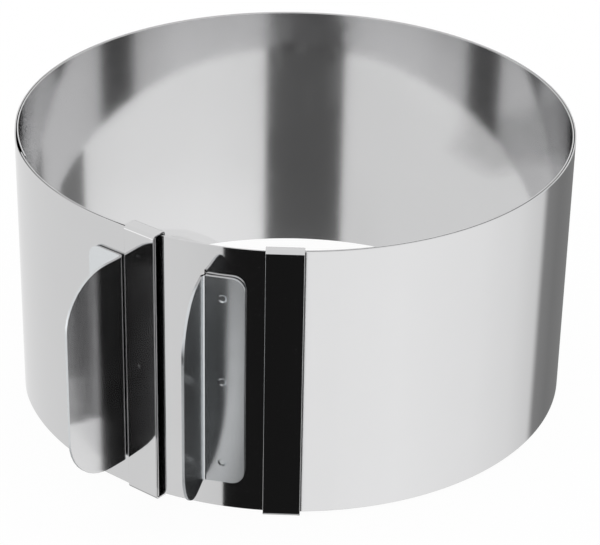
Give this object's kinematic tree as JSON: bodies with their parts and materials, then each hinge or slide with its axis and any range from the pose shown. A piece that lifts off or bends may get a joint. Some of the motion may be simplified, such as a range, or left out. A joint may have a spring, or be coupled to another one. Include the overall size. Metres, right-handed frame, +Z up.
{
  "type": "adjustable cake ring",
  "caption": "Adjustable cake ring: a bright steel strip rolled over itself, with folded sleeves that hook its ends together and handles that slide it wider or tighter.",
  "frame": {"origin": "centre of the ring and its handles' box, at the bottom of the sleeves, where the ring rests", "axes": "+Z up along the ring's axis; -Y towards the handles, where the ends of the strip overlap; +X to the right seen from the handles"},
  "size_m": [0.169, 0.1918, 0.0866],
  "materials": {
    "strip": "bright polished stainless sheet, near mirror",
    "sleeves": "bright polished stainless sheet, folded",
    "handles": "satin stainless sheet, spot-welded"
  },
  "bodies": {
    "outer_ring": {"outer_turn": "strip", "outer_end_sleeve": "sleeves", "left_handle": "handles", "right_handle": "handles"},
    "inner_ring": {"inner_turn": "strip", "inner_end_sleeve": "sleeves"}
  },
  "joints": [
    {"name": "ring_adjust", "type": "hinge", "parent": "outer_ring", "child": "inner_ring", "pos_m": [0, 0.01143, 0], "axis": [0, 0, 1], "range_deg": [-3, 315]}
  ]
}
